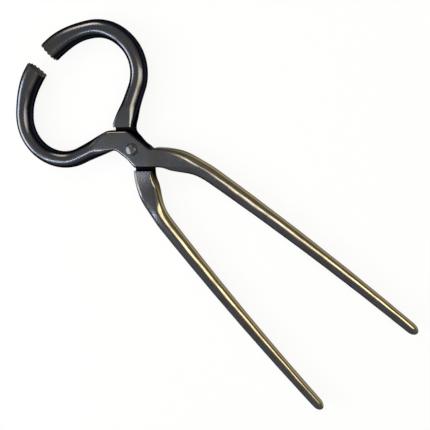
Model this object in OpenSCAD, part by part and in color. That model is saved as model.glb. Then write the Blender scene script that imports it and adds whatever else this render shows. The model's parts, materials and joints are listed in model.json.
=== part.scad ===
// Hoof tester: two drop-forged levers on one pivot rivet.
// The tool lies flat. +Z is the rivet's axis, +Y runs from the rivet to the jaws.
// The origin is on the rivet's axis, in the plane that the joint's back face rests on.
// Each lever is drawn shut, with its tip face on the plane x = 0, and is then swung open.

/* [Jaws] */
// Height of the elbow, where the jaw bar turns into the joint, above the rivet
elbow_y = 14.6; // [13:0.2:17]
// Slope of the jaw bar where it leaves the joint, in degrees
jaw_slope = 26.5; // [20:0.5:32]
// Length of the straight stretch from the elbow to the start of the bend
jaw_straight = 38; // [34:0.5:44]
// Radius of the jaw's main bend, on the centre line
jaw_bend_r = 31.5; // [28:0.5:36]
// Radius of the flatter bend that leads to the tip
tip_bend_r = 66; // [60:1:80]
// Width of the jaw bar
jaw_w = 13.4; // [11:0.2:16]
// Width of the jaw bar where it enters the joint
root_w = 15.2; // [13:0.2:17]
// Thickness of the jaw bar
jaw_t = 12; // [9:0.5:14]
// Width of the flared tip
tip_w = 16; // [13:0.2:20]
// Thickness of the flared tip
tip_t = 12.5; // [10:0.5:14]
// Length over which the bar flares to the tip
tip_flare = 34; // [20:1:45]
// Distance from groove to groove on the gripping face
tooth_pitch = 2.6; // [2:0.1:4]
// Depth of the grooves on the gripping face
tooth_depth = 0.8; // [0.4:0.1:1.2]

/* [Joint] */
// Thickness of the whole joint, both levers together
joint_t = 14; // [12:0.5:18]
// Width of each lever across the rivet
joint_w = 18.6; // [16:0.2:21]
// Distance from the rivet's axis to the slanted flanks of the joint block
flank_reach = 14.4; // [13.6:0.1:15.4]
// Clear gap between a flank and the shoulder that it faces, in the rest pose
shoulder_gap = 2.6; // [2.2:0.1:3.4]
// Gap between the two lapped faces
lap_gap = 0.1; // [0.05:0.05:0.3]
// Angle between the two gripping faces in the rest pose
rest_open = 9.8; // [8:0.2:14]

/* [Handles] */
// Distance from the rivet to the end of the handles, measured shut
handle_reach = 257; // [200:1:320]
// Turn of the neck below the joint, in degrees
neck_turn = 41; // [34:1:46]
// Radius of the neck's turn
neck_r = 14.5; // [12:0.5:18]
// Radius of the longer bend that brings the handle back in line
handle_bend_r = 74; // [60:1:90]
// Turn of that longer bend, in degrees
handle_turn = 37.2; // [32:0.2:40]
// Bow of the long stretch of the handle, in degrees
handle_bow = 4.4; // [2:0.2:6]
// Width of the neck, below the joint
neck_w = 16.6; // [14:0.2:18]
// Width at the top of the handle, past the neck
handle_top_w = 12.8; // [10:0.2:15]
// Width at the end of the handle
handle_end_w = 8.2; // [6:0.2:10]
// Thickness at the top of the handle
handle_top_t = 10.4; // [8:0.2:13]
// Thickness at the end of the handle
handle_end_t = 8; // [6:0.2:10]

/* [Rivet] */
// Diameter of the shank
rivet_d = 7; // [5:0.5:9]
// Running clearance in the front lever's bore, on the radius
bore_clear = 0.05; // [0.02:0.01:0.1]
// Diameter of the head where it meets the lever
head_d = 9.4; // [8:0.2:13]
// Diameter of the flat on top of the head
head_flat_d = 5.6; // [4:0.2:7]
// Height of the head
head_h = 2.3; // [1.5:0.1:3.5]
// Gap under the head
head_gap = 0.05; // [0.02:0.01:0.1]
// Depth of the countersink that the tail is peened into
sink_depth = 1.6; // [1:0.1:2.5]
// Diameter of the countersink at the back face
sink_d = 9.6; // [8:0.2:12]

/* [Hidden] */

// Number of points round each section, and of sides on round work
RING = 24;
ROUND = 72;
// How square the sections are: 2 is an ellipse, higher is squarer
JAW_SQUARE = 2.2;
TIP_SQUARE = 2.6;
JOINT_SQUARE = 7;
HANDLE_SQUARE = 2.4;
// Number of sections along each stretch of the lever
JAW_LINE_CUTS = 9;
JAW_BEND_CUTS = 17;
TIP_BEND_CUTS = 9;
ELBOW_CUTS = 12;
STRIP_CUTS = 7;
NECK_CUTS = 8;
HANDLE_BEND_CUTS = 14;
BOW_CUTS = 8;
END_CUTS = 6;
// Share by which the joint's sections are overdrawn, so that their faces are flat
JOINT_FLAT = 0.03;
// Centre of the lever's width across the rivet, to the side of the axis
STRIP_X = 0.8;
// Length of the strip below the rivet, before the neck turns
STRIP_LOW = 8;
// Radius of the elbow
ELBOW_R = 21;
// Depth of the rounding at the end of a handle, as a share of its width
END_ROUND = 0.8;
// Length of bar over which the joint's flat section changes to the bar's
BLEND = 26;
// Length over which the jaw widens to its root
ROOT_RUN = 24;
// Share of the tip's flare that keeps the full width
TIP_LAND = 0.2;
// From the end of the jaw to where the joint's thickness is reached, and where the inner side
// starts and ends its change from the root's width to the strip's
THICK_LEAD = 2;
INNER_START = 7;
INNER_END = 20;
// How far the joint's lower corner stands out past its side, and the length of that flare
CORNER_FLARE = 1.2;
FLARE_RUN = 7;
// Lengths below the strip over which the outer side, the inner side and the thickness change
NECK_OUTER_RUN = 14;
NECK_INNER_START = 13;
NECK_INNER_END = 26;
NECK_THICK_START = 8;
// Length from the neck's turn to the top of the handle, and where the slimming starts and ends there
TOP_RUN = 36;
SLIM_START = 18;
SLIM_END = 4;
// Rim of the rivet's head as a share of its height, and the bulge of the slope above it
BRIM = 0.2;
HEAD_BULGE = 0.3;
HEAD_CUTS = 6;
// How far a cutter reaches past the face that it opens
OVER = 1;

half_open = rest_open / 2;
half_t = joint_t / 2;
half_w = joint_w / 2;
notch_reach = flank_reach + shoulder_gap;
// Directions that the flanks and the shoulders face, with the lever shut
flank_dir = 45 - half_open;
shoulder_dir = 135 - half_open;

// Headings are measured along the way from the tip to the handle's end.
// The jaw's line meets the strip's line at the elbow point.
elbow_tangent = ELBOW_R * tan((90 - jaw_slope) / 2);
bend_start_x = STRIP_X - jaw_straight * cos(jaw_slope);
bend_start_y = elbow_y + jaw_straight * sin(jaw_slope);
// Heading between the two bends, from the rule that the tip face is square to the bar
tip_turn = asin((-bend_start_x - jaw_bend_r * sin(jaw_slope)) / (tip_bend_r - jaw_bend_r));
jaw_turn = 180 - jaw_slope - tip_turn;

// Points of an arc that starts at p with heading h, turns by t (left positive) at radius r
function arc_point(p, h, r, t) = t > 0
    ? [p[0] + r * (sin(h + t) - sin(h)), p[1] - r * (cos(h + t) - cos(h))]
    : [p[0] - r * (sin(h + t) - sin(h)), p[1] + r * (cos(h + t) - cos(h))];
function arc(p, h, r, t, n) =
    [for (i = [1 : n]) concat(arc_point(p, h, r, t * i / n), [h + t * i / n])];
function line_to(p, h, len, n) =
    [for (i = [1 : n]) [p[0] + len * i / n * cos(h), p[1] + len * i / n * sin(h), h]];
function last(list) = list[len(list) - 1];

// The jaw is laid out backwards, from the elbow to the tip, and then reversed
elbow_end = [STRIP_X - elbow_tangent * cos(jaw_slope), elbow_y + elbow_tangent * sin(jaw_slope)];
jaw_line = line_to(elbow_end, 180 - jaw_slope, jaw_straight - elbow_tangent, JAW_LINE_CUTS);
jaw_bend = arc(last(jaw_line), 180 - jaw_slope, jaw_bend_r, -jaw_turn, JAW_BEND_CUTS);
tip_bend = arc(last(jaw_bend), tip_turn, tip_bend_r, -tip_turn, TIP_BEND_CUTS);
jaw_out = concat([concat(elbow_end, [180 - jaw_slope])], jaw_line, jaw_bend, tip_bend);
jaw_path = [for (i = [len(jaw_out) - 1 : -1 : 0]) [jaw_out[i][0], jaw_out[i][1], jaw_out[i][2] + 180]];

// From the elbow down through the joint and along the handle
elbow_bend = arc(elbow_end, -jaw_slope, ELBOW_R, jaw_slope - 90, ELBOW_CUTS);
strip_start = last(elbow_bend);
strip = line_to(strip_start, -90, strip_start[1] + STRIP_LOW, STRIP_CUTS);
neck = arc(last(strip), -90, neck_r, neck_turn, NECK_CUTS);
handle_bend = arc(last(neck), neck_turn - 90, handle_bend_r, -handle_turn, HANDLE_BEND_CUTS);
bow_dir = neck_turn - 90 - handle_turn;
bow_r = (handle_reach + last(handle_bend)[1]) / (cos(bow_dir) - cos(bow_dir - handle_bow));
end_round = END_ROUND * handle_end_w;
round_turn = end_round / bow_r * 180 / PI;
bow = arc(last(handle_bend), bow_dir, bow_r, round_turn - handle_bow, BOW_CUTS);
handle_tip = arc(last(bow), last(bow)[2], bow_r, -round_turn, END_CUTS);
path = concat(jaw_path, elbow_bend, strip, neck, handle_bend, bow, handle_tip);

// Distance along the path from the tip to each point
steps = [for (i = [0 : len(path) - 1]) i == 0 ? 0
    : norm([path[i][0] - path[i - 1][0], path[i][1] - path[i - 1][1]])];
function run_sum(list) = [for (i = 0, s = list[0]; i < len(list); i = i + 1,
    s = s + (i < len(list) ? list[i] : 0)) s];
along = run_sum(steps);
count = len(path);
elbow_at = along[len(jaw_path) - 1];
strip_end_at = along[len(jaw_path) + len(elbow_bend) + len(strip) - 1];
top_at = strip_end_at + neck_r * neck_turn * PI / 180 + TOP_RUN;
end_at = last(along);

// Smooth step from 0 at a to 1 at b
function ramp(s, a, b) = let(t = min(1, max(0, (s - a) / (b - a)))) t * t * (3 - 2 * t);
function mix(a, b, t) = a + (b - a) * t;
function share(s, a, b) = min(1, max(0, (s - a) / (b - a)));

// How far the section is inside the joint: 0 on the bars, 1 across the joint
function in_joint(s) = ramp(s, elbow_at - BLEND / 2, elbow_at + BLEND / 3)
    * (1 - ramp(s, strip_end_at + BLEND / 3, top_at));
function end_scale(s) = let(q = share(end_at - s, 0, end_round)) sqrt(1 - (1 - q) * (1 - q));

function bar_half_w(s) = s <= elbow_at
    ? mix(tip_w, jaw_w, ramp(s, tip_flare * TIP_LAND, tip_flare)) / 2
    : mix(mix(neck_w, handle_top_w, ramp(s, top_at - SLIM_START, top_at + SLIM_END)),
        handle_end_w, share(s, top_at, end_at)) / 2 * end_scale(s);
function root_half_w(s) = mix(bar_half_w(s), root_w / 2, ramp(s, elbow_at - ROOT_RUN, elbow_at));
function thick(s) = s <= elbow_at
    ? mix(mix(tip_t, jaw_t, ramp(s, 0, tip_flare)), joint_t,
        ramp(s, elbow_at - BLEND, elbow_at + THICK_LEAD))
    : mix(mix(joint_t, handle_top_t, ramp(s, strip_end_at + NECK_THICK_START, top_at)),
        handle_end_t, share(s, top_at, end_at)) * end_scale(s);
function squareness(s) = mix(
    s <= elbow_at ? mix(TIP_SQUARE, JAW_SQUARE, ramp(s, 0, tip_flare)) : HANDLE_SQUARE,
    JOINT_SQUARE, in_joint(s));

// Distance from point p along unit direction d to the line at distance r facing dir
function to_line(p, d, dir, r) = let(n = [cos(dir), sin(dir)]) (r - p * n) / (d * n);

// Half widths on the outer side of the elbow, which has corners, and on its inner side
function outer_half(s, p, d) = s < elbow_at ? root_half_w(s)
    : s > strip_end_at
    ? mix(half_w - STRIP_X, bar_half_w(s), ramp(s, strip_end_at, strip_end_at + NECK_OUTER_RUN))
    : min(to_line(p, d, 0, half_w), to_line(p, d, flank_dir, flank_reach),
        to_line(p, d, 90 - jaw_slope, elbow_end * [sin(jaw_slope), cos(jaw_slope)] + root_w / 2));
function inner_half(s, p, d) = s < elbow_at ? root_half_w(s)
    : s <= strip_end_at ? min(to_line(p, d, 180 + flank_dir, flank_reach),
        mix(root_w / 2, half_w + STRIP_X, ramp(s, elbow_at + INNER_START, elbow_at + INNER_END))
        + CORNER_FLARE * ramp(s, strip_end_at - FLARE_RUN, strip_end_at))
    : mix(to_line(p, d, 180 + flank_dir, flank_reach), bar_half_w(s),
        ramp(s, strip_end_at + NECK_INNER_START, strip_end_at + NECK_INNER_END));

// One section: a rounded rectangle standing square to the path
function section(i) = let(
    s = along[i], h = path[i][2], p = [path[i][0], path[i][1]],
    left = [-sin(h), cos(h)], q = squareness(s), e = 2 / q,
    flat = 1 + JOINT_FLAT * in_joint(s),
    a = outer_half(s, p, left), b = inner_half(s, p, -left), c = thick(s) / 2)
    [for (k = [0 : RING - 1]) let(
        t = k * 360 / RING,
        u = sign(cos(t)) * pow(abs(cos(t)), e),
        v = sign(sin(t)) * min(1, flat * pow(abs(sin(t)), e)),
        w = (a - b) / 2 + (a + b) / 2 * u)
        [p[0] + left[0] * w, p[1] + left[1] * w, c * v]];

// The whole bar of one lever, before it is cut for the joint. The handle ends in one point.
module lever_bar() {
    rings = count - 1;
    end_point = [path[rings][0], path[rings][1], 0];
    points = concat([for (i = [0 : rings - 1]) each section(i)], [end_point]);
    walls = [for (i = [0 : rings - 2]) for (k = [0 : RING - 1])
        let(a = i * RING + k, b = i * RING + (k + 1) % RING)
        each [[b, a, a + RING], [b + RING, b, a + RING]]];
    face = [[for (k = [0 : RING - 1]) k]];
    last_fan = [for (k = [0 : RING - 1])
        [(rings - 1) * RING + (k + 1) % RING, (rings - 1) * RING + k, rings * RING]];
    polyhedron(points, concat(walls, face, last_fan), convexity = 6);
}

// Crossed V grooves that leave a checkered gripping face on the plane x = 0
module tip_grooves() {
    face_y = last(tip_bend)[1];
    span = tip_w + tip_t;
    rows = floor(span / 2 / tooth_pitch / sqrt(2)) + 1;
    for (lean = [-45, 45])
        translate([0, face_y, 0])
            rotate([lean, 0, 0])
                for (i = [-rows : rows])
                    translate([0, (i + 0.5) * tooth_pitch, 0])
                        rotate([0, 0, 45])
                            cube([tooth_depth * sqrt(2), tooth_depth * sqrt(2), span * 2], center = true);
}

// Room for the other lever: half the thickness, between two straight shoulders
module lap_cut() {
    rotate([0, 0, shoulder_dir])
        translate([-notch_reach, -2 * joint_w, -joint_t])
            cube([2 * notch_reach, 4 * joint_w, joint_t + lap_gap / 2]);
}

// A straight hole through the joint, and one with a countersink in the lever's outer face
module plain_bore() {
    translate([0, 0, -joint_t])
        cylinder(h = 2 * joint_t, d = rivet_d + 2 * bore_clear, $fn = ROUND);
}

module sunk_bore() {
    sink_slope = (sink_d - rivet_d) / 2 / sink_depth;
    rotate_extrude($fn = ROUND)
        polygon([
            [0, -joint_t],
            [rivet_d / 2, -joint_t],
            [rivet_d / 2, half_t - sink_depth],
            [sink_d / 2 + sink_slope * OVER, half_t + OVER],
            [0, half_t + OVER]]);
}

// One lever, shut, with its jaw on the -X side and its outer face on the +Z side.
// The child is what its hole takes out.
module lever() {
    difference() {
        lever_bar();
        lap_cut();
        tip_grooves();
        children();
    }
}

module front_lever() {
    color("dimgray")
        translate([0, 0, half_t])
            rotate([0, 0, half_open])
                lever()
                    plain_bore();
}

module rear_lever() {
    color("slategray")
        translate([0, 0, half_t])
            rotate([0, 0, -half_open])
                rotate([0, 180, 0])
                    lever()
                        sunk_bore();
}

// Button head, shank and a tail that is peened flush into the countersink
module pivot_rivet() {
    under_head = joint_t + head_gap;
    tail = [[0, 0], [sink_d / 2, 0], [rivet_d / 2, sink_depth]];
    head = [for (i = [0 : HEAD_CUTS]) let(t = i / HEAD_CUTS) [
        mix(head_d, head_flat_d, t) / 2 + HEAD_BULGE * sin(180 * t),
        under_head + head_h * mix(BRIM, 1, t)]];
    color("gray")
        rotate_extrude($fn = ROUND)
            polygon(concat(
                tail,
                [[rivet_d / 2, under_head], [head_d / 2, under_head]],
                head,
                [[0, under_head + head_h]]));
}

rear_lever();
front_lever();
pivot_rivet();
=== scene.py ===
"""Hoof tester in dark polished steel, lying on a pale studio floor.

Shapes are worked out in millimetres, in the same way as the CAD part's, and make_mesh turns them to metres.
The camera, the lamps and the places that the materials read are in metres."""
import json
import math

import bpy
import numpy as np
from mathutils import Matrix, Vector


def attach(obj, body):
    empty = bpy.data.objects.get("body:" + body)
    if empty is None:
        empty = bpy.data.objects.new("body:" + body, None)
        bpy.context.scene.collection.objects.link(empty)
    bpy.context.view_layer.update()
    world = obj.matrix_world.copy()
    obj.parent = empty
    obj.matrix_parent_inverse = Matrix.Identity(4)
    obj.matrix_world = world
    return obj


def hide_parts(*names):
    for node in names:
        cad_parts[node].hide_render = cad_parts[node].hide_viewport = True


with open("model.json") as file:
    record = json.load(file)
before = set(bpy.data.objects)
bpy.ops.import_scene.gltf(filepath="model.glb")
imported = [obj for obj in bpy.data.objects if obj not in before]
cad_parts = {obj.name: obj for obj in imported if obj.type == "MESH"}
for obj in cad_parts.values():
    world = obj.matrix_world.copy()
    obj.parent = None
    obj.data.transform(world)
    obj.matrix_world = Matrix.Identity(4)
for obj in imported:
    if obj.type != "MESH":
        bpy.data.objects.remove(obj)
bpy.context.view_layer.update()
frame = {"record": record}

# Body of each CAD node
BODIES = {node: body for body, nodes in frame["record"]["behaviour"]["bodies"].items() for node in nodes}

# Metres in a millimetre, and the seed of the random draws
MM = 0.001
SEED = 7

# Jaws: place and slope of the bar that leaves the joint, its straight stretch and its two bends
ELBOW_Y = 14.6
JAW_SLOPE = 26.5
JAW_STRAIGHT = 38
JAW_BEND_R = 31.5
TIP_BEND_R = 66
# Widths and thicknesses of the jaw bar, its root and its flared tip
JAW_W = 13.4
ROOT_W = 15.2
TIP_W = 16
JAW_T = 12
TIP_T = 12.5
# Length of the tip's flare, the share of it that keeps the full width, and the length of the root
TIP_FLARE = 34
TIP_LAND = 0.2
ROOT_RUN = 24
# Grooves of the gripping face
TOOTH_PITCH = 2.6
TOOTH_DEPTH = 0.8

# Joint: thickness of both levers together, and width across the rivet
JOINT_T = 14
JOINT_W = 18.6
# Distance from the rivet to the slanted flanks, and their gap to the shoulders
FLANK_REACH = 14.4
SHOULDER_GAP = 2.6
LAP_GAP = 0.1
# Angle between the gripping faces at rest
REST_OPEN = 9.8
# Strip across the rivet: its centre to the side of the axis, and its length below the rivet
STRIP_X = 0.8
STRIP_LOW = 8
ELBOW_R = 21
# Length of bar over which the joint's flat section changes to the bar's
BLEND = 26
# From the end of the jaw to where the joint's thickness is reached, and where the inner side changes
THICK_LEAD = 2
INNER_START = 7
INNER_END = 20
# How far the joint's lower corner stands out past its side, and the length of that flare
CORNER_FLARE = 1.2
FLARE_RUN = 7

# Handles: reach below the rivet, and the turn and radius of each bend, in degrees and millimetres
HANDLE_REACH = 257
NECK_TURN = 41
NECK_R = 14.5
HANDLE_TURN = 37.2
HANDLE_BEND_R = 74
HANDLE_BOW = 4.4
# Widths and thicknesses
NECK_W = 16.6
HANDLE_TOP_W = 12.8
HANDLE_END_W = 8.2
HANDLE_TOP_T = 10.4
HANDLE_END_T = 8
# Lengths below the strip over which the outer side, the inner side and the thickness change
NECK_OUTER_RUN = 14
NECK_INNER_START = 13
NECK_INNER_END = 26
NECK_THICK_START = 8
# Length from the neck's turn to the top of the handle, and where the slimming starts and ends there
TOP_RUN = 36
SLIM_START = 18
SLIM_END = 4
# Depth of the rounding at the end of a handle, as a share of its width
END_ROUND = 0.8

# Rivet: shank, clearance in the front lever's bore, and head
RIVET_D = 7
BORE_CLEAR = 0.05
HEAD_D = 9.4
HEAD_FLAT_D = 5.6
HEAD_H = 2.3
HEAD_GAP = 0.05
# Rim of the head as a share of its height, the bevel under it, and the bulge of the slope above it
BRIM = 0.2
HEAD_BEVEL = 0.15
HEAD_BULGE = 0.3
# Hammered facet: where it crosses the top, its slope, and how it leans
FACET_X = -1.3
FACET_SLOPE = 0.45
FACET_LEAN = 0.5
# Countersink, and the rounded edge of the tail that fills it
SINK_D = 9.6
SINK_DEPTH = 1.6
TAIL_EDGE_FACE = 0.25
TAIL_EDGE_SIDE = 0.06
TAIL_EDGE_H = 0.12
# How far a cutter reaches past the face that it opens
OVER = 1

# How square the sections are: 2 is an ellipse, higher is squarer
JAW_SQUARE = 2.2
TIP_SQUARE = 2.6
JOINT_SQUARE = 7
HANDLE_SQUARE = 2.4
# Share by which the joint's sections are overdrawn, so that their faces are flat
JOINT_FLAT = 0.03

# Fineness: points round a bar, length from section to section, and sections at the handle's end
RING = 96
STEP = 0.9
END_RINGS = 14
# Sides of round work, and rings on the rivet's slope and top
ROUND = 96
SLOPE_RINGS = 12
TOP_RINGS = 9
# Edges sharper than these angles stay crisp
LEVER_CREASE = 32
RIVET_CREASE = 40

# Unevenness of the hand-finished bars: its depth, its number of waves, and their length along the bar
WAVE = 0.16
WAVES = 9
WAVE_SHORT = 14
WAVE_LONG = 60
# Most crests that a wave has in one turn round the bar
WAVE_CRESTS = 3

HALF_OPEN = REST_OPEN / 2
HALF_T = JOINT_T / 2
HALF_W = JOINT_W / 2
FLANK_DIR = 45 - HALF_OPEN
SHOULDER_DIR = 135 - HALF_OPEN
LAP_LENGTH = 4 * JOINT_W

# Steel: painted shade at the sides and in the lap, and steel colours at the joint, on the jaws and on the
# handles
PAINTED_SHADE_DARK = (0.012, 0.013, 0.018, 1)
JOINT_BARE = (0.165, 0.17, 0.182, 1)
JAW_BARE = (0.122, 0.13, 0.148, 1)
HANDLE_BARE = (0.175, 0.18, 0.195, 1)
# Painted warm highlight and painted reflection on the handles' right, the gripping faces, stains, and the
# tint at grazing angles
PAINTED_WARM_HIGHLIGHT = (0.3, 0.26, 0.165, 1)
PAINTED_REFLECTION = (0.3, 0.25, 0.14, 1)
GRIP = (0.11, 0.1, 0.085, 1)
STAIN = (0.13, 0.105, 0.075, 1)
RIM_TINT = (0.3, 0.3, 0.33, 1)
RIVET_DARK = (0.1, 0.1, 0.105, 1)
RIVET_PALE = (0.14, 0.137, 0.135, 1)
# Where each finish starts and ends: distance from the tip face along the bar
GRIP_SPAN = (0.002, 0.001)
HANDLED_SPAN = (0.165, 0.21)
SATIN_SPAN = (0.19, 0.15)
# Distance from the lap, within which the lap gets painted shade, and distance from the rivet's axis
LAP_SHADE_SPAN = (0.0008, 0.002)
JOINT_SPAN = (0.03, 0.034)
# How far the surface faces up or down, below which it gets painted shade, and how far it faces to the right,
# where the handles get a painted warm highlight and then a painted reflection
FACING_UP_SPAN = (0.82, 1.05)
PAINTED_WARM_HIGHLIGHT_SPAN = (0.08, 0.25)
PAINTED_REFLECTION_SPAN = (0.35, 0.7)
# Levels of the mottling between which the stains, the gloss and the rivet's shades change
STAIN_SPAN = (0.4, 0.7)
GLOSS_SPAN = (0.3, 0.7)
STAIN_MOST = 0.6
# How much the streaks and the handles widen the steel-coloured faces, narrowing the painted shade at the
# sides
STREAK_SPREAD = 0.1
HANDLE_SPREAD = 0.1
# Scales of the noise: mottling, grain, the streaks along and round the bar, and the rivet's mottling
MOTTLE_SCALE = 90
GRAIN_SCALE = 900
STREAKS_ALONG = 60
STREAKS_ROUND = 4
RIVET_MOTTLE_SCALE = 420
# Roughness, and height of the streaks and of the rivet's mottling
POLISHED = (0.1, 0.16)
SATIN_EXTRA = 0.05
GRAIN_EXTRA = 0.05
RIVET_SATIN = (0.2, 0.38)
BUMP_DEPTH = 0.0001
STREAK_BUMP = 0.1
RIVET_BUMP = 0.04

# Camera: its place, and the directions to its right and behind it
CAMERA_AT = Vector((0.1244, -0.0684, 0.3959))
CAMERA_RIGHT = Vector((0.6686, -0.7213, -0.1809))
CAMERA_BACK = Vector((0.2909, 0.0297, 0.9563))
CAMERA_ANGLE = 44.6
CAMERA_NEAR = 0.01

# Floor, and the share of plain white that the camera and reflections see in it
FLOOR_SIZE = 4.0
FLOOR_Z = -0.0001
FLOOR_COLOUR = (0.95, 0.95, 0.95, 1)
FLOOR_ROUGHNESS = 0.9
FLOOR_WHITE = 0.88
WHITE = (1, 1, 1, 1)

# Room light
WORLD_COLOUR = (0.98, 0.99, 1, 1)
WORLD_STRENGTH = 0.31
# Lamps: name, place, point aimed at, width and height, power in watts, colour
LAMPS = [
    ("warm_strip", (0.33, -0.38, 1.1), (0, -0.05, 0), (0.38, 1.15), 7, (1.0, 0.9, 0.74)),
    ("warm_far", (0.25, 1.0, 0.75), (0, 0, 0), (0.4, 0.4), 3.5, (1.0, 0.88, 0.7)),
    ("cool_low", (-0.85, 0.7, 0.5), (0, 0, 0), (0.8, 0.4), 8, (0.82, 0.92, 1.0)),
    ("cool_mid", (-0.9, 0.2, 1.0), (0, 0, 0), (0.1, 0.9), 3, (0.8, 0.9, 1.0)),
]

# Corners of each face of a box, in the order of box_corners
BOX_FACES = [(0, 1, 3, 2), (4, 6, 7, 5), (0, 4, 5, 1), (2, 3, 7, 6), (0, 2, 6, 4), (1, 5, 7, 3)]


def sin(degrees):
    return np.sin(np.radians(degrees))


def cos(degrees):
    return np.cos(np.radians(degrees))


def share(s, a, b):
    return np.clip((s - a) / (b - a), 0, 1)


def ramp(s, a, b):
    """Smooth step from 0 at a to 1 at b."""
    t = share(s, a, b)
    return t * t * (3 - 2 * t)


def mix(a, b, t):
    return a + (b - a) * t


def arc_length(radius, turn):
    return radius * math.radians(turn)


class Path:
    """The lever's centre line, shut, from the tip to the handle's end.

    rows holds x, y, heading and distance."""

    def __init__(self, point, heading):
        self.point, self.heading, self.length = point, heading, 0.0
        self.rows = [(*point, heading, 0.0)]

    def go(self, length, turn=0.0, count=None, ease=False):
        """Runs on while the heading turns by an angle, left positive.

        With ease, the points close up at the end."""
        count = count or math.ceil(length / STEP)
        x0, y0, h0, s0 = *self.point, self.heading, self.length
        for i in range(1, count + 1):
            t = sin(90 * i / count) if ease else i / count
            h = h0 + turn * t
            if turn:
                radius = length / math.radians(turn)
                x, y = x0 + radius * (sin(h) - sin(h0)), y0 - radius * (cos(h) - cos(h0))
            else:
                x, y = x0 + length * t * cos(h0), y0 + length * t * sin(h0)
            self.rows.append((x, y, h, s0 + length * t))
        self.point, self.heading, self.length = (x, y), h, s0 + length


def lever_path():
    """The whole path, and the distances along it where its stretches meet."""
    elbow_tangent = ELBOW_R * math.tan(math.radians((90 - JAW_SLOPE) / 2))
    bend_x = STRIP_X - JAW_STRAIGHT * cos(JAW_SLOPE)
    bend_y = ELBOW_Y + JAW_STRAIGHT * sin(JAW_SLOPE)
    tip_turn = math.degrees(math.asin((-bend_x - JAW_BEND_R * sin(JAW_SLOPE)) / (TIP_BEND_R - JAW_BEND_R)))
    tip_y = bend_y + JAW_BEND_R * (cos(JAW_SLOPE) + cos(tip_turn)) + TIP_BEND_R * (1 - cos(tip_turn))
    path = Path((0.0, tip_y), -180)
    marks = {"tip_y": tip_y}
    path.go(arc_length(TIP_BEND_R, tip_turn), tip_turn)
    path.go(arc_length(JAW_BEND_R, 180 - JAW_SLOPE - tip_turn), 180 - JAW_SLOPE - tip_turn)
    path.go(JAW_STRAIGHT - elbow_tangent)
    marks["elbow"] = path.length
    marks["elbow_point"] = path.point
    path.go(arc_length(ELBOW_R, 90 - JAW_SLOPE), JAW_SLOPE - 90)
    path.go(path.point[1] + STRIP_LOW)
    marks["strip_end"] = path.length
    marks["top"] = marks["strip_end"] + arc_length(NECK_R, NECK_TURN) + TOP_RUN
    path.go(arc_length(NECK_R, NECK_TURN), NECK_TURN)
    path.go(arc_length(HANDLE_BEND_R, HANDLE_TURN), -HANDLE_TURN)
    bow_dir = path.heading
    bow_r = (HANDLE_REACH + path.point[1]) / (cos(bow_dir) - cos(bow_dir - HANDLE_BOW))
    end_turn = math.degrees(END_ROUND * HANDLE_END_W / bow_r)
    path.go(arc_length(bow_r, HANDLE_BOW - end_turn), end_turn - HANDLE_BOW)
    path.go(arc_length(bow_r, end_turn), -end_turn, END_RINGS, ease=True)
    marks["end"] = path.length
    return np.array(path.rows), marks


def to_line(p, d, direction, reach):
    """Distance from each point p along each unit direction d to the line at a reach from the rivet."""
    n = np.array([cos(direction), sin(direction)])
    return (reach - p @ n) / (d @ n)


def in_joint(s, marks):
    """How far a section is inside the joint: 0 on the bars, 1 across the joint."""
    entering = ramp(s, marks["elbow"] - BLEND / 2, marks["elbow"] + BLEND / 3)
    leaving = ramp(s, marks["strip_end"] + BLEND / 3, marks["top"])
    return entering * (1 - leaving)


def end_closing(s, marks):
    """Share of the full section: 1 along the bar, and down to 0 in a round curve at the handle's end."""
    q = share(marks["end"] - s, 0, END_ROUND * HANDLE_END_W)
    return np.sqrt(1 - (1 - q) ** 2)


def joint_outer(p, left, marks):
    """Half width across the joint on its outer side, up to the nearest of three straight edges."""
    ex, ey = marks["elbow_point"]
    root_line = ex * sin(JAW_SLOPE) + ey * cos(JAW_SLOPE) + ROOT_W / 2
    return np.minimum.reduce([
        to_line(p, left, 0, HALF_W),
        to_line(p, left, FLANK_DIR, FLANK_REACH),
        to_line(p, left, 90 - JAW_SLOPE, root_line),
    ])


def half_widths(p, left, s, marks, closing):
    """Half widths on the outer side, which has corners in the joint, and on the inner side."""
    elbow, strip_end, top, end = (marks[k] for k in ("elbow", "strip_end", "top", "end"))
    jaw = mix(TIP_W, JAW_W, ramp(s, TIP_FLARE * TIP_LAND, TIP_FLARE)) / 2
    root = mix(jaw, ROOT_W / 2, ramp(s, elbow - ROOT_RUN, elbow))
    neck = mix(NECK_W, HANDLE_TOP_W, ramp(s, top - SLIM_START, top + SLIM_END))
    handle = mix(neck, HANDLE_END_W, share(s, top, end)) / 2 * closing
    flank = to_line(p, -left, 180 + FLANK_DIR, FLANK_REACH)
    side = mix(ROOT_W / 2, HALF_W + STRIP_X, ramp(s, elbow + INNER_START, elbow + INNER_END))
    side = side + CORNER_FLARE * ramp(s, strip_end - FLARE_RUN, strip_end)
    outer_neck = ramp(s, strip_end, strip_end + NECK_OUTER_RUN)
    outer_handle = mix(HALF_W - STRIP_X, handle, outer_neck)
    inner_neck = ramp(s, strip_end + NECK_INNER_START, strip_end + NECK_INNER_END)
    inner_handle = mix(np.where(s < strip_end + NECK_INNER_END, flank, 0), handle, inner_neck)
    corner = joint_outer(p, left, marks)
    outer = np.where(s < elbow, root, np.where(s > strip_end, outer_handle, corner))
    inner = np.where(s < elbow, root, np.where(s > strip_end, inner_handle, np.minimum(flank, side)))
    return outer, inner


def half_thickness(s, marks, closing):
    elbow, strip_end, top, end = (marks[k] for k in ("elbow", "strip_end", "top", "end"))
    bar = mix(TIP_T, JAW_T, ramp(s, 0, TIP_FLARE))
    jaw = mix(bar, JOINT_T, ramp(s, elbow - BLEND, elbow + THICK_LEAD))
    neck = mix(JOINT_T, HANDLE_TOP_T, ramp(s, strip_end + NECK_THICK_START, top))
    handle = mix(neck, HANDLE_END_T, share(s, top, end))
    return np.where(s <= elbow, jaw, handle * closing) / 2


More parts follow.
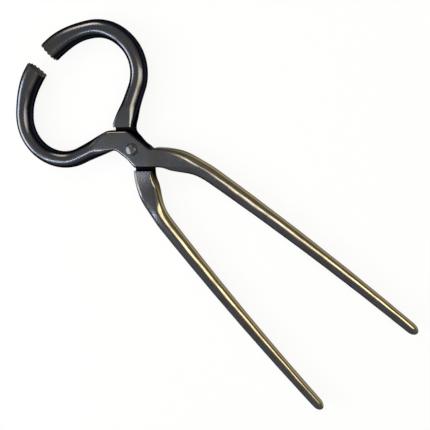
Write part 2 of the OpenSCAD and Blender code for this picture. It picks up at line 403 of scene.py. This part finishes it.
def squareness(s, marks):
    jaw = mix(TIP_SQUARE, JAW_SQUARE, ramp(s, 0, TIP_FLARE))
    return mix(np.where(s <= marks["elbow"], jaw, HANDLE_SQUARE), JOINT_SQUARE, in_joint(s, marks))


def forging_waves(s, angle, rng):
    """Slow unevenness of a hand-finished bar, from -1 to 0."""
    total = np.zeros((len(s), len(angle)))
    for _ in range(WAVES):
        length = rng.uniform(WAVE_SHORT, WAVE_LONG)
        crests = rng.integers(1, WAVE_CRESTS + 1)
        phase, lean = rng.uniform(0, 2 * np.pi, 2)
        along = np.sin(2 * np.pi * s[:, None] / length + phase)
        total += along * np.cos(crests * angle[None, :] + lean)
    return (total - total.max()) / (total.max() - total.min())


def lever_points(rng):
    """The bar's rings as an array of ring, point and x, y, z, and how far along the bar each ring is."""
    rows, marks = lever_path()
    p, heading, s = rows[:, :2], rows[:, 2], rows[:, 3]
    left = np.stack([-sin(heading), cos(heading)], axis=1)
    closing = end_closing(s, marks)
    outer, inner = half_widths(p, left, s, marks, closing)
    joint = in_joint(s, marks)
    power = (2 / squareness(s, marks))[:, None]
    angle = np.arange(RING) * 2 * np.pi / RING
    wide, high = np.cos(angle), np.sin(angle)
    u = np.sign(wide) * np.abs(wide) ** power
    v = np.sign(high) * np.minimum(1, (1 + JOINT_FLAT * joint[:, None]) * np.abs(high) ** power)
    bump = WAVE * forging_waves(s, angle, rng) * ((1 - joint) * closing)[:, None]
    half_t = half_thickness(s, marks, closing)[:, None]
    across = ((outer - inner) / 2)[:, None] + (((outer + inner) / 2)[:, None] + bump) * u
    points = np.empty((len(s), RING, 3))
    points[..., :2] = p[:, None, :] + left[:, None, :] * across[..., None]
    points[..., 2] = (half_t + bump) * v
    return points, s, marks


def make_mesh(name, points, faces, bar=None):
    """A mesh object in metres from points in millimetres. bar gives the UV values of every face's corners."""
    mesh = bpy.data.meshes.new(name)
    mesh.from_pydata(np.asarray(points).reshape(-1, 3) * MM, [], faces)
    if bar is not None:
        layer = mesh.uv_layers.new(name="bar")
        layer.data.foreach_set("uv", np.asarray(bar, np.float32).ravel())
    mesh.validate()
    obj = bpy.data.objects.new(name, mesh)
    bpy.context.scene.collection.objects.link(obj)
    return obj


def lever_bar(name, rng):
    """The whole bar of one lever, before it is cut for the joint.

    Its UV map gives the metres along the bar and the share of a turn round it."""
    points, s, marks = lever_points(rng)
    last = len(s) - 1
    vertices = np.concatenate([points[:last].reshape(-1, 3), [points[last, 0]]])
    faces, corners = [], []
    for i in range(last - 1):
        for k in range(RING):
            a, b = i * RING + k, i * RING + (k + 1) % RING
            faces.append((a, b, b + RING, a + RING))
            corners += [(i, k), (i, k + 1), (i + 1, k + 1), (i + 1, k)]
    faces.append(tuple(range(RING - 1, -1, -1)))
    corners += [(0, k) for k in range(RING - 1, -1, -1)]
    for k in range(RING):
        a, b = (last - 1) * RING + k, (last - 1) * RING + (k + 1) % RING
        faces.append((a, b, last * RING))
        corners += [(last - 1, k), (last - 1, k + 1), (last, k)]
    corners = np.array(corners)
    bar = np.stack([s[corners[:, 0]] * MM, corners[:, 1] / RING], axis=1)
    return make_mesh(name, vertices, faces, bar), marks


def box_corners(low, high):
    return [(x, y, z) for x in (low[0], high[0]) for y in (low[1], high[1]) for z in (low[2], high[2])]


def lathe(name, profile):
    """A closed solid turned round Z from a profile of radius and height that starts and ends on the axis."""
    inner = profile[1:-1]
    angle = np.arange(ROUND) * 2 * np.pi / ROUND
    points = [(0, 0, profile[0][1])]
    for r, z in inner:
        for a in angle:
            points.append((r * math.cos(a), r * math.sin(a), z))
    points.append((0, 0, profile[-1][1]))
    last = len(points) - 1
    faces = []
    for k in range(ROUND):
        n = (k + 1) % ROUND
        faces.append((0, 1 + n, 1 + k))
        for i in range(len(inner) - 1):
            a, b = 1 + i * ROUND, 1 + (i + 1) * ROUND
            faces.append((a + k, a + n, b + n, b + k))
        faces.append((last - ROUND + k, last - ROUND + n, last))
    return make_mesh(name, points, faces)


def groove_cutter(name, tip_y, lean):
    """A row of square bars, corner down, that cut V grooves into the tip's face."""
    span = TIP_W + TIP_T
    rows = int(span / 2 / TOOTH_PITCH / math.sqrt(2)) + 1
    half = TOOTH_DEPTH / math.sqrt(2)
    turn = Matrix.Translation((0, tip_y, 0)) @ Matrix.Rotation(math.radians(lean), 4, "X")
    corner_down = Matrix.Rotation(math.radians(45), 4, "Z")
    points, faces = [], []
    for i in range(-rows, rows + 1):
        move = turn @ Matrix.Translation((0, (i + 0.5) * TOOTH_PITCH, 0)) @ corner_down
        faces += [tuple(len(points) + c for c in face) for face in BOX_FACES]
        for corner in box_corners((-half, -half, -span), (half, half, span)):
            points.append(tuple(move @ Vector(corner)))
    return make_mesh(name, points, faces)


def lap_cutter(name):
    """The slab that takes away half of the joint's thickness between the two shoulders."""
    reach = FLANK_REACH + SHOULDER_GAP
    corners = box_corners((-reach, -LAP_LENGTH / 2, -JOINT_T), (reach, LAP_LENGTH / 2, LAP_GAP / 2))
    cutter = make_mesh(name, corners, BOX_FACES)
    cutter.data.transform(Matrix.Rotation(math.radians(SHOULDER_DIR), 4, "Z"))
    return cutter


def bore_cutter(name, sunk):
    """The hole's solid. The sunk one opens into a countersink in the lever's outer face."""
    if not sunk:
        radius = RIVET_D / 2 + BORE_CLEAR
        return lathe(name, [(0, -JOINT_T), (radius, -JOINT_T), (radius, JOINT_T), (0, JOINT_T)])
    radius = RIVET_D / 2
    slope = (SINK_D - RIVET_D) / 2 / SINK_DEPTH
    return lathe(name, [(0, -JOINT_T), (radius, -JOINT_T), (radius, HALF_T - SINK_DEPTH),
                        (SINK_D / 2 + slope * OVER, HALF_T + OVER), (0, HALF_T + OVER)])


def cut(obj, cutters):
    """Takes the cutters out of obj, and deletes them."""
    for cutter in cutters:
        modifier = obj.modifiers.new(cutter.name, "BOOLEAN")
        modifier.operation = "DIFFERENCE"
        modifier.solver = "MANIFOLD"
        modifier.object = cutter
    graph = bpy.context.evaluated_depsgraph_get()
    done = bpy.data.meshes.new_from_object(obj.evaluated_get(graph))
    obj.modifiers.clear()
    obj.data = done
    for cutter in cutters:
        bpy.data.objects.remove(cutter)


def soften(obj, crease):
    """Smooth shading, with edges sharper than an angle left crisp."""
    obj.data.polygons.foreach_set("use_smooth", [True] * len(obj.data.polygons))
    obj.data.set_sharp_from_angle(angle=math.radians(crease))


def make_lever(name, rear, rng):
    """One lever, swung open to the rest pose. The rear one is the front one's forging turned over."""
    obj, marks = lever_bar(name, rng)
    tip_y = marks["tip_y"]
    cut(obj, [lap_cutter("lap"), bore_cutter("bore", rear),
              groove_cutter("grooves_a", tip_y, 45), groove_cutter("grooves_b", tip_y, -45)])
    turn = Matrix.Rotation(math.radians(-HALF_OPEN if rear else HALF_OPEN), 4, "Z")
    if rear:
        turn = turn @ Matrix.Rotation(math.pi, 4, "Y")
    obj.data.transform(Matrix.Translation((0, 0, HALF_T * MM)) @ turn)
    soften(obj, LEVER_CREASE)
    return obj


def rivet_profile(under, top):
    """Radius and height from the tail's face, up the shank and round the head."""
    profile = [
        (0, 0),
        (SINK_D / 2 - TAIL_EDGE_FACE, 0),
        (SINK_D / 2 - TAIL_EDGE_SIDE, TAIL_EDGE_H),
        (RIVET_D / 2, SINK_DEPTH),
        (RIVET_D / 2, under),
        (HEAD_D / 2 - HEAD_BEVEL, under),
        (HEAD_D / 2, under + HEAD_BEVEL),
    ]
    for t in np.linspace(0, 1, SLOPE_RINGS):
        bulge = HEAD_BULGE * math.sin(math.pi * t)
        profile.append((mix(HEAD_D, HEAD_FLAT_D, t) / 2 + bulge, mix(under + HEAD_H * BRIM, top, t)))
    profile += [(HEAD_FLAT_D / 2 * t, top) for t in np.linspace(0.9, 0.1, TOP_RINGS)]
    profile.append((0, top))
    return profile


def make_rivet(name):
    """Button head with one hammered facet, shank, and a tail peened into the countersink."""
    under = JOINT_T + HEAD_GAP
    top = under + HEAD_H
    rivet = lathe(name, rivet_profile(under, top))
    for vertex in rivet.data.vertices:
        x, y, z = vertex.co / MM
        if z > under + HEAD_H * BRIM:
            facet_z = top + FACET_SLOPE * (x - FACET_X - FACET_LEAN * y)
            vertex.co.z = min(z, facet_z) * MM
    soften(rivet, RIVET_CREASE)
    return rivet


class Tree:
    """Short forms for building a node tree."""

    def __init__(self, owner):
        owner.use_nodes = True
        self.nodes, self.links = owner.node_tree.nodes, owner.node_tree.links

    def add(self, kind, settings=None, **inputs):
        made = self.nodes.new(kind)
        for key, value in (settings or {}).items():
            setattr(made, key, value)
        for key, value in inputs.items():
            self.set(made, key.replace("_", " "), value)
        return made

    def set(self, made, key, value):
        """Sets an input, given by its name or its number, to a value or another node's output."""
        if isinstance(value, bpy.types.NodeSocket):
            self.links.new(value, made.inputs[key])
        else:
            made.inputs[key].default_value = value

    def calc(self, operation, a, b=0.0):
        made = self.add("ShaderNodeMath", {"operation": operation})
        self.set(made, 0, a)
        self.set(made, 1, b)
        return made.outputs[0]

    def parts(self, vector):
        """The X, Y and Z of a vector."""
        return self.add("ShaderNodeSeparateXYZ", Vector=vector).outputs

    def noise(self, vector, scale, detail):
        return self.add("ShaderNodeTexNoise", Vector=vector, Scale=scale, Detail=detail).outputs["Fac"]

    def span(self, value, limits, results=(0.0, 1.0)):
        """A smooth step of value between two limits, sent to two results."""
        made = self.add("ShaderNodeMapRange", {"interpolation_type": "SMOOTHSTEP"}, Value=value)
        for key, number in zip(("From Min", "From Max", "To Min", "To Max"), (*limits, *results)):
            self.set(made, key, number)
        return made.outputs["Result"]

    def blend(self, factor, a, b):
        """The colour a where factor is 0, and b where it is 1."""
        made = self.add("ShaderNodeMix", {"data_type": "RGBA"})
        for number, value in ((0, factor), (6, a), (7, b)):
            self.set(made, number, value)
        return made.outputs[2]


def steel(name):
    """A new metal with its tree and its shader."""
    mat = bpy.data.materials.new(name)
    tree = Tree(mat)
    bsdf = tree.nodes["Principled BSDF"]
    bsdf.inputs["Metallic"].default_value = 1.0
    return mat, tree, bsdf


def long_streaks(tree, bar):
    """Noise drawn out along the bar, as grinding leaves it."""
    turn = tree.calc("MULTIPLY", bar["Y"], 2 * math.pi)
    run = tree.add("ShaderNodeCombineXYZ",
                   X=tree.calc("MULTIPLY", bar["X"], STREAKS_ALONG),
                   Y=tree.calc("MULTIPLY", tree.calc("COSINE", turn), STREAKS_ROUND),
                   Z=tree.calc("MULTIPLY", tree.calc("SINE", turn), STREAKS_ROUND))
    return tree.noise(run.outputs["Vector"], 1, detail=2)


def rivet_distance(tree, where):
    flat = tree.add("ShaderNodeCombineXYZ", X=where["X"], Y=where["Y"])
    length = tree.add("ShaderNodeVectorMath", {"operation": "LENGTH"})
    tree.set(length, 0, flat.outputs["Vector"])
    return length.outputs["Value"]


def lever_colour(tree, place, bar, mottle, streak):
    """Steel colour where the surface faces up or down, stained in spots, with painted shade at the sides and
    in the lap, and a painted warm highlight and a painted reflection on the handles' right.
    """
    where, facing = tree.parts(place["Object"]), tree.parts(place["Normal"])
    off_joint = tree.span(rivet_distance(tree, where), JOINT_SPAN)
    # Painted shade in the lap: faces near the level where the levers meet, close to the rivet, get the dark
    # side colour.
    from_lap = tree.calc("ABSOLUTE", tree.calc("SUBTRACT", where["Z"], HALF_T * MM))
    unshaded_by_lap = tree.calc("MAXIMUM", tree.span(from_lap, LAP_SHADE_SPAN), off_joint)
    handled = tree.span(bar["X"], HANDLED_SPAN)
    hand_spread = tree.calc("MULTIPLY", handled, HANDLE_SPREAD)
    spread = tree.calc("ADD", tree.calc("MULTIPLY", streak, STREAK_SPREAD), hand_spread)
    # Painted shade: faces turned sideways get the dark side colour in place of dark reflections; faces turned
    # up or down keep the steel colour.
    facing_up = tree.span(tree.calc("ADD", tree.calc("ABSOLUTE", facing["Z"]), spread), FACING_UP_SPAN)
    unshaded = tree.calc("MULTIPLY", facing_up, unshaded_by_lap)
    # Painted reflection: an olive band on the handles' sides that face right, in place of a mirrored floor
    # and warm light.
    painted_reflection = tree.calc("MULTIPLY", handled, tree.span(facing["X"], PAINTED_REFLECTION_SPAN))
    gripping = tree.calc("MULTIPLY", tree.span(bar["X"], GRIP_SPAN), off_joint)
    # Side colour: painted shade, with a painted reflection on the handles' right and the gripping faces' own
    # colour.
    side = tree.blend(gripping, tree.blend(painted_reflection, PAINTED_SHADE_DARK, PAINTED_REFLECTION), GRIP)
    jaw = tree.blend(off_joint, JOINT_BARE, JAW_BARE)
    # Painted warm highlight: the handles' slopes that face right turn warm where the warm lamp's highlight
    # falls.
    handle = tree.blend(tree.span(facing["X"], PAINTED_WARM_HIGHLIGHT_SPAN), HANDLE_BARE, PAINTED_WARM_HIGHLIGHT)
    colour = tree.blend(unshaded, side, tree.blend(handled, jaw, handle))
    stained = tree.calc("MULTIPLY", tree.span(mottle, STAIN_SPAN, (0.0, STAIN_MOST)), unshaded)
    return tree.blend(stained, colour, STAIN)


def lever_material():
    """Forged polished steel, lighter where it faces up or down, with painted shade at the sides and in the
    lap.
    """
    mat, tree, bsdf = steel("lever_steel")
    place = tree.add("ShaderNodeTexCoord").outputs
    bar = tree.parts(tree.add("ShaderNodeUVMap", {"uv_map": "bar"}).outputs["UV"])
    mottle = tree.noise(place["Object"], MOTTLE_SCALE, detail=3)
    grain = tree.noise(place["Object"], GRAIN_SCALE, detail=3)
    streak = long_streaks(tree, bar)
    tree.set(bsdf, "Base Color", lever_colour(tree, place, bar, mottle, streak))
    bsdf.inputs["Specular Tint"].default_value = RIM_TINT
    satin = tree.span(bar["X"], SATIN_SPAN, (0.0, SATIN_EXTRA))
    rough_grain = tree.calc("MULTIPLY", grain, GRAIN_EXTRA)
    gloss = tree.calc("ADD", tree.span(mottle, GLOSS_SPAN, POLISHED), rough_grain)
    tree.set(bsdf, "Roughness", tree.calc("ADD", gloss, satin))
    bump = tree.add("ShaderNodeBump", Strength=STREAK_BUMP, Distance=BUMP_DEPTH, Height=streak)
    tree.set(bsdf, "Normal", bump.outputs["Normal"])
    return mat


def rivet_material():
    """Darker satin steel, mottled by the hammer."""
    mat, tree, bsdf = steel("rivet_steel")
    place = tree.add("ShaderNodeTexCoord").outputs
    mottle = tree.noise(place["Object"], RIVET_MOTTLE_SCALE, detail=5)
    tree.set(bsdf, "Base Color", tree.blend(tree.span(mottle, GLOSS_SPAN), RIVET_DARK, RIVET_PALE))
    tree.set(bsdf, "Roughness", tree.span(mottle, GLOSS_SPAN, RIVET_SATIN))
    bump = tree.add("ShaderNodeBump", Strength=RIVET_BUMP, Distance=BUMP_DEPTH, Height=mottle)
    tree.set(bsdf, "Normal", bump.outputs["Normal"])
    return mat


def floor_material():
    """Pale and matt under the light, and near white to the camera and in reflections."""
    mat = bpy.data.materials.new("floor")
    tree = Tree(mat)
    bsdf = tree.nodes["Principled BSDF"]
    bsdf.inputs["Base Color"].default_value = FLOOR_COLOUR
    bsdf.inputs["Roughness"].default_value = FLOOR_ROUGHNESS
    ray = tree.add("ShaderNodeLightPath").outputs
    seen = tree.calc("MAXIMUM", ray["Is Camera Ray"], ray["Is Glossy Ray"])
    seen = tree.calc("MAXIMUM", seen, ray["Is Transmission Ray"])
    white = tree.add("ShaderNodeEmission", Color=WHITE, Strength=1.0)
    both = tree.add("ShaderNodeMixShader")
    tree.set(both, 0, tree.calc("MULTIPLY", seen, FLOOR_WHITE))
    tree.set(both, 1, bsdf.outputs["BSDF"])
    tree.set(both, 2, white.outputs["Emission"])
    tree.set(tree.nodes["Material Output"], "Surface", both.outputs["Shader"])
    return mat


def add_floor():
    bpy.ops.mesh.primitive_plane_add(size=FLOOR_SIZE, location=(0, 0, FLOOR_Z))
    floor = bpy.context.object
    floor.name = "floor"
    floor.data.materials.append(floor_material())


def add_lamp(name, at, aim, size, power, colour):
    data = bpy.data.lights.new(name, "AREA")
    data.shape = "RECTANGLE"
    data.size, data.size_y = size
    data.energy = power
    data.color = colour
    lamp = bpy.data.objects.new(name, data)
    back = (Vector(at) - Vector(aim)).normalized()
    lamp.matrix_world = Matrix.Translation(at) @ back.to_track_quat("Z", "Y").to_matrix().to_4x4()
    bpy.context.scene.collection.objects.link(lamp)


def add_world():
    world = bpy.data.worlds.new("studio")
    bpy.context.scene.world = world
    background = Tree(world).nodes["Background"]
    background.inputs["Color"].default_value = WORLD_COLOUR
    background.inputs["Strength"].default_value = WORLD_STRENGTH


def add_camera():
    data = bpy.data.cameras.new("camera")
    data.angle = math.radians(CAMERA_ANGLE)
    data.clip_start = CAMERA_NEAR
    camera = bpy.data.objects.new("camera", data)
    back = CAMERA_BACK.normalized()
    up = back.cross(CAMERA_RIGHT).normalized()
    turn = Matrix((up.cross(back), up, back)).transposed().to_4x4()
    camera.matrix_world = Matrix.Translation(CAMERA_AT) @ turn
    bpy.context.scene.collection.objects.link(camera)
    bpy.context.scene.camera = camera


def dress(obj, mat, node):
    """Gives a piece its finish, and puts it in the place of the CAD node that it stands for."""
    obj.data.materials.clear()
    obj.data.materials.append(mat)
    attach(obj, BODIES[node])
    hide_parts(node)


rng = np.random.default_rng(SEED)
lever_steel = lever_material()
dress(make_lever("rear_lever_skin", True, rng), lever_steel, "rear_lever")
dress(make_lever("front_lever_skin", False, rng), lever_steel, "front_lever")
dress(make_rivet("pivot_rivet_skin"), rivet_material(), "pivot_rivet")
add_floor()
for lamp in LAMPS:
    add_lamp(*lamp)
add_world()
add_camera()
bpy.context.scene.view_settings.view_transform = "Standard"
